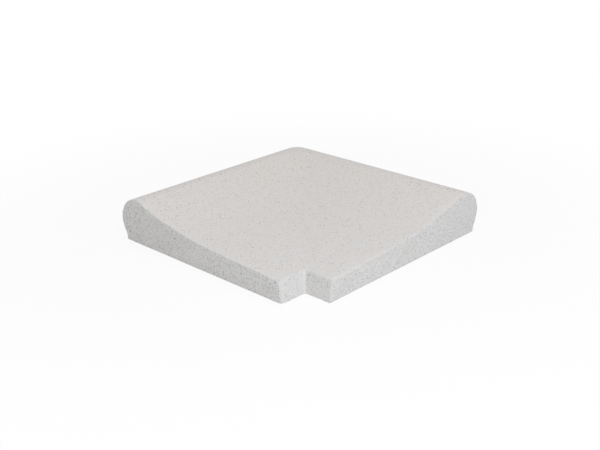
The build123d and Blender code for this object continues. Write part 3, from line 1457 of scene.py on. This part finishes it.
@dataclass(frozen=True)
class Weathering:
    """What wears the skin and sets the exposed grains into it, in metres.

    Attributes:
        unevenness: How far the faces stray from true.
        swell_scale: Swells of that to the metre.
        rub: How deep the arrises are nibbled.
        nibble_scale: Nibbles to the metre.
        nibble_run: Values of their noise between which they deepen.
        grains: Exposed grains to the square metre, where they are closest.
        on_top: Share of them on the top and the lip.
        on_joint: How much more of them there are on the joint faces.
        on_wall: How much more of them there are on the notch's walls.
        cleared: How much rarer they are on the arrises.
        apart: Least distance between two grains.
        grains_from: Height above the floor at which the grains start.
        grain: Radius of the largest grain.
        least: Radius of the smallest, as a share of the largest.
        narrowest: Width of the narrowest, as a share of its length.
        flatness: Height of a grain, as a share of its length.
        sunk: How deep its middle lies, as a share of its height.
        broken: How far its corners stray, as a share of the largest radius.
        broken_scale: How often they do, to the metre.
        seed: Seed of every random choice.
    """

    unevenness: float = 0.0003
    swell_scale: float = 11.0
    rub: float = 0.001
    nibble_scale: float = 130.0
    nibble_run: Pair = (0.42, 0.72)
    grains: float = 42000.0
    on_top: float = 0.06
    on_joint: float = 0.85
    on_wall: float = 0.35
    cleared: float = 0.8
    apart: float = 0.0042
    grains_from: float = 0.002
    grain: float = 0.00085
    least: float = 0.45
    narrowest: float = 0.65
    flatness: float = 0.4
    sunk: float = 0.55
    broken: float = 0.9
    broken_scale: float = 900.0
    seed: int = 11

    def tree(self) -> bpy.types.NodeTree:
        """Builds the geometry tree, with its sizes as named inputs.

        Returns:
            The tree.
        """
        graph = Graph(bpy.data.node_groups.new("weathered_stone", "GeometryNodeTree"))
        graph.socket("Geometry", "Geometry")
        for name in ("Unevenness", "Rub", "Grains", "Apart", "Grain"):
            graph.socket(name, value=0.0)
        graph.socket("Seed", "Int")
        graph.socket("Stone", "Material")
        graph.socket("Aggregate", "Material")
        graph.socket("Geometry", "Geometry", output=True)
        place = graph.node("GeometryNodeInputPosition").outputs[0]
        above_floor = graph.node("ShaderNodeSeparateXYZ", {0: place}).outputs[2]
        masks = {mask: graph.named(mask.value) for mask in Mask}
        wiring = Wiring(graph, graph.node("NodeGroupInput").outputs, place, above_floor, masks)
        skin = self.wear(wiring)
        grains = self.set_grains(wiring, self.scatter(wiring, skin))
        graph.node("NodeGroupOutput", {0: self.finish(wiring, skin, grains)})
        return graph.tree

    def wear(self, wiring: Wiring) -> Socket:
        """Makes the faces uneven and nibbles the arrises.

        Args:
            wiring: The tree that is being wired.

        Returns:
            The socket of the worn skin.
        """
        graph, given, place, above_floor, masks = wiring
        swell = graph.noise(place, self.swell_scale)[0]
        uneven = graph.math("MULTIPLY", graph.math("SUBTRACT", swell, 0.5), given["Unevenness"])
        bites = graph.span(graph.noise(place, self.nibble_scale, 3.0)[0], self.nibble_run)
        worn = graph.math("MULTIPLY", graph.math("MULTIPLY", bites, masks[Mask.ARRIS]), given["Rub"])
        offset = graph.math("MINIMUM", graph.math("SUBTRACT", uneven, worn), above_floor)
        offset = graph.math("MULTIPLY", offset, graph.math("SUBTRACT", 1.0, masks[Mask.UNDERSIDE]))
        normal = graph.node("GeometryNodeInputNormal").outputs[0]
        moves = {"Geometry": given["Geometry"], "Offset": graph.scaled(normal, offset)}
        return graph.node("GeometryNodeSetPosition", moves).outputs[0]

    def scatter(self, wiring: Wiring, skin: Socket) -> Sockets:
        """Scatters the places of the exposed grains.

        Args:
            wiring: The tree that is being wired.
            skin: The socket of the worn skin.

        Returns:
            The outputs of the node that scatters them.
        """
        graph, given, _, above_floor, masks = wiring
        closer = graph.math("MULTIPLY_ADD", masks[Mask.JOINT_FACE], self.on_joint, self.on_top)
        closer = graph.math("MULTIPLY_ADD", masks[Mask.NOTCH_WALL], self.on_wall, closer)
        clear = graph.math("MULTIPLY_ADD", masks[Mask.ARRIS], -self.cleared, 1.0)
        open_face = graph.math("SUBTRACT", 1.0, masks[Mask.UNDERSIDE])
        clear_of_floor = graph.math("GREATER_THAN", above_floor, self.grains_from)
        open_face = graph.math("MULTIPLY", open_face, clear_of_floor)
        factor = graph.math("MULTIPLY", graph.math("MULTIPLY", closer, clear), open_face, clamp=True)
        inputs = {0: skin, "Distance Min": given["Apart"], "Density Max": given["Grains"]}
        inputs |= {"Density Factor": factor, "Seed": given["Seed"]}
        return graph.node("GeometryNodeDistributePointsOnFaces", inputs, distribute_method="POISSON").outputs

    def set_grains(self, wiring: Wiring, spots: Sockets) -> Socket:
        """Sets a grain into the skin at each place, flat and turned at random.

        Args:
            wiring: The tree that is being wired.
            spots: The outputs of the node that scatters the places.

        Returns:
            The socket of the grains, each with a random value for its colour.
        """
        graph = wiring.graph
        size = graph.math("MULTIPLY", wiring.draw(1, self.least, 1.0), wiring.given["Grain"])
        flat = graph.math("MULTIPLY", size, self.flatness)
        wide = graph.math("MULTIPLY", size, wiring.draw(2, self.narrowest, 1.0))
        normal = {"Vector": spots["Normal"]}
        upright = graph.node("FunctionNodeAlignRotationToVector", normal, axis="Z").outputs[0]
        spin = graph.node("FunctionNodeEulerToRotation", {0: graph.combined(Z=wiring.draw(3, 0.0, math.tau))})
        turns = {0: upright, 1: spin.outputs[0]}
        turned = graph.node("FunctionNodeRotateRotation", turns, rotation_space="LOCAL")
        sunk = graph.scaled(spots["Normal"], graph.math("MULTIPLY", flat, -self.sunk))
        inputs = {
            "Points": graph.node("GeometryNodeSetPosition", {0: spots["Points"], "Offset": sunk}).outputs[0],
            "Instance": graph.node("GeometryNodeMeshIcoSphere", {0: 1.0, 1: 1}).outputs[0],
            "Rotation": turned.outputs[0],
            "Scale": graph.combined(X=size, Y=wide, Z=flat),
        }
        grains = graph.node("GeometryNodeInstanceOnPoints", inputs).outputs[0]
        for name, value in ((TINT_DRAW, wiring.draw(4, 0.0, 1.0)), (IS_GRAIN, 1.0)):
            inputs = {"Geometry": grains, "Name": name, "Value": value}
            kinds = {"data_type": "FLOAT", "domain": "INSTANCE"}
            grains = graph.node("GeometryNodeStoreNamedAttribute", inputs, **kinds).outputs[0]
        return grains

    def finish(self, wiring: Wiring, skin: Socket, grains: Socket) -> Socket:
        """Joins the grains to the skin, breaks their corners and gives both their finish.

        Args:
            wiring: The tree that is being wired.
            skin: The socket of the worn skin.
            grains: The socket of the grains.

        Returns:
            The socket of the finished stone.
        """
        graph, given, place, _, _ = wiring
        joined = graph.node("GeometryNodeJoinGeometry", {0: grains})
        graph.link(skin, joined.inputs[0])
        whole = graph.node("GeometryNodeRealizeInstances", {0: joined.outputs[0]}).outputs[0]
        chosen = graph.math("GREATER_THAN", graph.named(IS_GRAIN), 0.5)
        centred = graph.vector("SUBTRACT", graph.noise(place, self.broken_scale)[1], (0.5, 0.5, 0.5))
        strayed = graph.scaled(centred, graph.math("MULTIPLY", given["Grain"], self.broken))
        moves = {0: whole, "Selection": chosen, "Offset": strayed}
        whole = graph.node("GeometryNodeSetPosition", moves).outputs[0]
        whole = graph.node("GeometryNodeSetMaterial", {0: whole, "Material": given["Stone"]}).outputs[0]
        inputs = {0: whole, "Selection": chosen, "Material": given["Aggregate"]}
        return graph.node("GeometryNodeSetMaterial", inputs).outputs[0]

    def apply(
        self, mesh: bpy.types.Mesh, stone: bpy.types.Material, grain: bpy.types.Material
    ) -> bpy.types.Object:
        """Weathers a skin.

        Args:
            mesh: The skin.
            stone: Its finish.
            grain: The finish of the exposed grains.

        Returns:
            The finished piece, with a plain mesh and no modifier.
        """
        piece = bpy.data.objects.new(PIECE, mesh)
        bpy.context.scene.collection.objects.link(piece)
        modifier = piece.modifiers.new("weathering", "NODES")
        modifier.node_group = self.tree()
        values = {"Unevenness": self.unevenness, "Rub": self.rub, "Grains": self.grains, "Apart": self.apart}
        values |= {"Grain": self.grain, "Seed": self.seed, "Stone": stone, "Aggregate": grain}
        for socket in modifier.node_group.interface.items_tree:
            if socket.in_out == "INPUT" and socket.name in values:
                modifier[socket.identifier] = values[socket.name]
        evaluated = piece.evaluated_get(bpy.context.evaluated_depsgraph_get())
        worn = bpy.data.meshes.new_from_object(evaluated)
        piece.modifiers.remove(modifier)
        piece.data = worn
        worn.name = PIECE
        return piece


@dataclass
class Coping:
    """The stone itself.

    Attributes:
        skin: Its skin.
        weathering: What wears the skin.
        finish: The finish of the stone.
        grains: The finish of the exposed grains.
        chips: The chips in its arrises, in the order in which they are cut.
        soft_rounds: How often the arris mask spreads to its neighbours.
        soft_kept: How much of it a point keeps at least, each time.
    """

    skin: StoneSkin = field(default_factory=StoneSkin)
    weathering: Weathering = Weathering()
    finish: StoneFinish = StoneFinish()
    grains: GrainFinish = GrainFinish()
    chips: tuple[Chip, ...] = (
        # down the notch's upright arris on the left
        Chip((-186.5, -142.0, 27.5), 5.0, 2.2),
        Chip((-186.5, -142.0, 22.5), 3.0, 1.6),
        Chip((-186.5, -142.0, 15.0), 3.0, 0.9),
        Chip((-186.5, -142.5, 10.0), 3.0, 0.8),
        # along the top arris of the -X joint face, the last two near the notch
        Chip((-186.5, 124.0, 58.5), 4.5, 1.0),
        Chip((-186.5, 70.0, 44.0), 4.5, 1.0),
        Chip((-186.5, -137.0, 31.5), 3.5, 1.7),
        Chip((-186.5, -130.0, 31.6), 3.0, 1.4),
        # at the foot of the notch
        Chip((-186.0, -143.0, 0.0), 4.5, 1.2),
        Chip((-144.6, -171.0, 0.5), 4.0, 0.7),
    )
    soft_rounds: int = 2
    soft_kept: float = 0.9

    def build(self) -> bpy.types.Object:
        """Builds and dresses the stone.

        Returns:
            The piece.
        """
        mesh = self.skin.build()
        self.soften(mesh)
        for chip in self.chips:
            chip.cut(mesh)
        stone = self.finish.build(SpeckGroup(), GritGroup())
        piece = self.weathering.apply(mesh, stone, self.grains.build())
        piece.data.shade_smooth()
        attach(piece, BODY)
        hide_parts(NODE)
        log.info("%s: %d points, %d faces", piece.name, len(piece.data.vertices), len(piece.data.polygons))
        return piece

    def soften(self, mesh: bpy.types.Mesh) -> None:
        """Spreads the arris mask a little into the faces beside it.

        Args:
            mesh: The skin.
        """
        edges = np.empty(len(mesh.edges) * 2, dtype=np.int32)
        mesh.edges.foreach_get("vertices", edges)
        edges = edges.reshape(-1, 2)
        layer = mesh.attributes[Mask.ARRIS.value].data
        value = np.empty(len(mesh.vertices), dtype=np.float32)
        layer.foreach_get("value", value)
        ends = np.concatenate([edges, edges[:, ::-1]])
        degree = np.bincount(ends[:, 0], minlength=len(value))
        for _ in range(self.soft_rounds):
            around = np.bincount(ends[:, 0], weights=value[ends[:, 1]], minlength=len(value)) / degree
            value = np.maximum(value * self.soft_kept, 0.5 * value + 0.5 * around)
        layer.foreach_set("value", value.astype(np.float32))


@dataclass(frozen=True)
class Lamp:
    """A soft square lamp, in metres and watts."""

    name: str
    place: Place
    size: float
    power: float
    tint: Colour = WHITE
    aim: Place = (0.0, 0.0, 0.02)

    def build(self) -> None:
        """Hangs the lamp."""
        data = bpy.data.lights.new(self.name, "AREA")
        data.size = self.size
        data.energy = self.power
        data.color = self.tint
        lamp = bpy.data.objects.new(self.name, data)
        lamp.location = self.place
        lamp.rotation_euler = (Vector(self.aim) - Vector(self.place)).to_track_quat("-Z", "Y").to_euler()
        lamp.visible_camera = False
        bpy.context.scene.collection.objects.link(lamp)


@dataclass(frozen=True)
class Studio:
    """A plain pale floor under soft light.

    Attributes:
        sky: Strength of the light from all round.
        floor_tone: The floor's own colour, which the light from it has.
        glow_near: How white the floor looks to the eye beside the stone, where its shadow still shows.
        glow_far: The same further out.
        glow_run: Distances from the middle, in metres, between which it passes from one to the other.
        reach: Half the floor's side, in metres.
        level: Height of the floor, a hair above the underside, so that neither flickers when seen from below.
        lamps: The lamps.
    """

    sky: float = 0.48
    floor_tone: float = 0.9
    glow_near: float = 0.86
    glow_far: float = 1.0
    glow_run: Pair = (0.25, 0.8)
    reach: float = 8.0
    level: float = 0.0001
    lamps: tuple[Lamp, ...] = (
        Lamp("key", (0.1, -1.7, 1.3), 1.3, 8.5, (0.955, 1.0, 1.05)),
        Lamp("front", (-0.85, -0.95, 0.8), 0.8, 6.1),
        Lamp("overhead", (0.1, 0.1, 2.2), 2.0, 9.6),
        Lamp("back", (0.2, 1.6, 1.0), 1.3, 2.4),
    )

    def build(self) -> None:
        """Lays the floor, sets the sky and hangs the lamps."""
        for lamp in self.lamps:
            lamp.build()
        world = bpy.data.worlds.new("studio")
        world.use_nodes = True
        graph = Graph(world.node_tree)
        seen = self.seen(graph)
        light = graph.tree.nodes["Background"]
        light.inputs[0].default_value = (*WHITE, 1.0)
        light.inputs[1].default_value = self.sky
        white = graph.node("ShaderNodeBackground", {0: (*WHITE, 1.0), 1: 1.0}).outputs[0]
        mixed = graph.node("ShaderNodeMixShader", {0: seen, 1: light.outputs[0], 2: white}).outputs[0]
        graph.link(mixed, graph.tree.nodes["World Output"].inputs[0])
        bpy.context.scene.world = world
        bpy.context.scene.view_settings.view_transform = "Standard"
        self.lay_floor()

    @staticmethod
    def seen(graph: Graph) -> Socket:
        """Tells the rays that the eye follows from the rest: straight, mirrored or through glass.

        Args:
            graph: The tree of a material or of the world.

        Returns:
            The socket of a value that is 1 for them.
        """
        path = graph.node("ShaderNodeLightPath").outputs
        mirrored = graph.math("MAXIMUM", path["Is Glossy Ray"], path["Is Transmission Ray"])
        return graph.math("MAXIMUM", path["Is Camera Ray"], mirrored)

    def floor_finish(self) -> bpy.types.Material:
        """Builds the floor's material, which looks white and keeps the stone's soft shadow.

        Returns:
            The material.
        """
        material = bpy.data.materials.new("floor")
        material.use_nodes = True
        graph = Graph(material.node_tree)
        shader = graph.tree.nodes["Principled BSDF"]
        shader.inputs["Base Color"].default_value = (self.floor_tone,) * 3 + (1.0,)
        shader.inputs["Roughness"].default_value = 1.0
        shader.inputs["Specular IOR Level"].default_value = 0.0
        glow = graph.node("ShaderNodeEmission", {0: (*WHITE, 1.0), 1: 1.0}).outputs[0]
        length = graph.node("ShaderNodeVectorMath", {0: graph.object_place()}, operation="LENGTH")
        glows = (self.glow_near, self.glow_far)
        whiter = graph.span(length.outputs["Value"], self.glow_run, glows, "SMOOTHSTEP")
        share = graph.math("MULTIPLY", self.seen(graph), whiter)
        mixed = graph.node("ShaderNodeMixShader", {0: share, 1: shader.outputs[0], 2: glow}).outputs[0]
        graph.link(mixed, graph.tree.nodes["Material Output"].inputs[0])
        return material

    def lay_floor(self) -> None:
        """Lays the floor."""
        mesh = bpy.data.meshes.new("floor")
        square = ((-1, -1), (1, -1), (1, 1), (-1, 1))
        corners = [(x * self.reach, y * self.reach, self.level) for x, y in square]
        mesh.from_pydata(corners, [], [(0, 1, 2, 3)])
        mesh.materials.append(self.floor_finish())
        floor = bpy.data.objects.new("floor", mesh)
        bpy.context.scene.collection.objects.link(floor)


def main() -> None:
    """Builds the picture."""
    logging.basicConfig(level=logging.INFO, format="%(name)s: %(message)s")
    Viewpoint().build()
    Coping().build()
    Studio().build()


if __name__ == "__main__":
    main()
